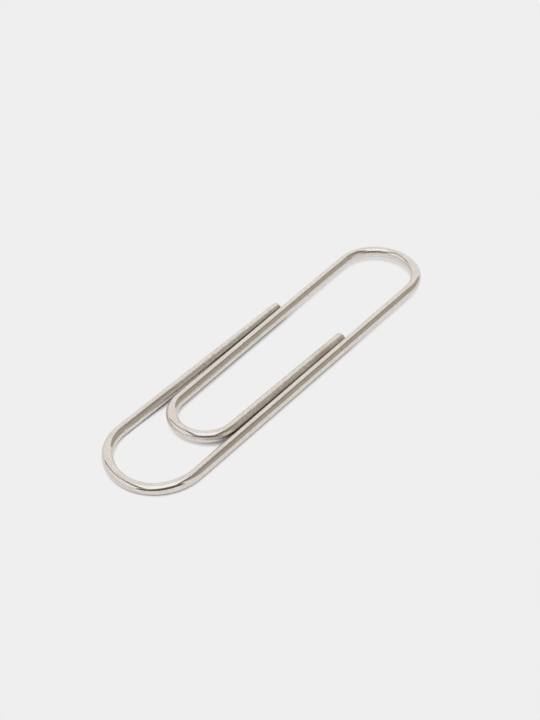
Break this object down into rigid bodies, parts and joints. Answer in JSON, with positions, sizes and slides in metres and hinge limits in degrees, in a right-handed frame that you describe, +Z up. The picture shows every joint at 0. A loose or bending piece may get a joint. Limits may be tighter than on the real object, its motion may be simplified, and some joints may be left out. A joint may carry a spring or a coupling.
{
  "type": "paper clip",
  "caption": "Wire paper clip with nested rounded loops; its bends twist so that the inner loop lifts and grips sheets against the outer loop.",
  "frame": {"origin": "on the table, under the middle of the clip's outer box", "axes": "+X along the clip towards the top bend, +Y across it towards the outer free leg, +Z up off the table"},
  "size_m": [0.033, 0.0078, 0.0011],
  "materials": {
    "nickel_plate": "bright nickel plate on drawn steel wire, with fine scuffs and tool marks"
  },
  "bodies": {
    "outer_free_arm": {"outer_free_leg": "nickel_plate", "outer_bend_free_half": "nickel_plate"},
    "outer_frame": {"outer_bend_long_half": "nickel_plate", "outer_long_leg": "nickel_plate", "top_bend_outer_half": "nickel_plate"},
    "tongue": {"top_bend_inner_half": "nickel_plate", "inner_long_leg": "nickel_plate", "inner_bend_long_half": "nickel_plate"},
    "inner_free_arm": {"inner_bend_free_half": "nickel_plate", "inner_free_leg": "nickel_plate"}
  },
  "joints": [
    {"name": "tongue_lift", "type": "hinge", "parent": "outer_frame", "child": "tongue", "pos_m": [0.01607, -0.00034, 0.00068], "axis": [0, 1, 0], "range_deg": [0, 8], "stiffness_Nm_per_rad": 0.26},
    {"name": "outer_free_leg_flex", "type": "hinge", "parent": "outer_frame", "child": "outer_free_arm", "pos_m": [-0.01607, 0, 0.00042], "axis": [0, -1, 0], "range_deg": [0, 5], "stiffness_Nm_per_rad": 0.4},
    {"name": "inner_free_leg_flex", "type": "hinge", "parent": "tongue", "child": "inner_free_arm", "pos_m": [-0.01017, -0.00017, 0.00063], "axis": [0, -1, 0], "range_deg": [0, 4], "stiffness_Nm_per_rad": 0.56}
  ]
}
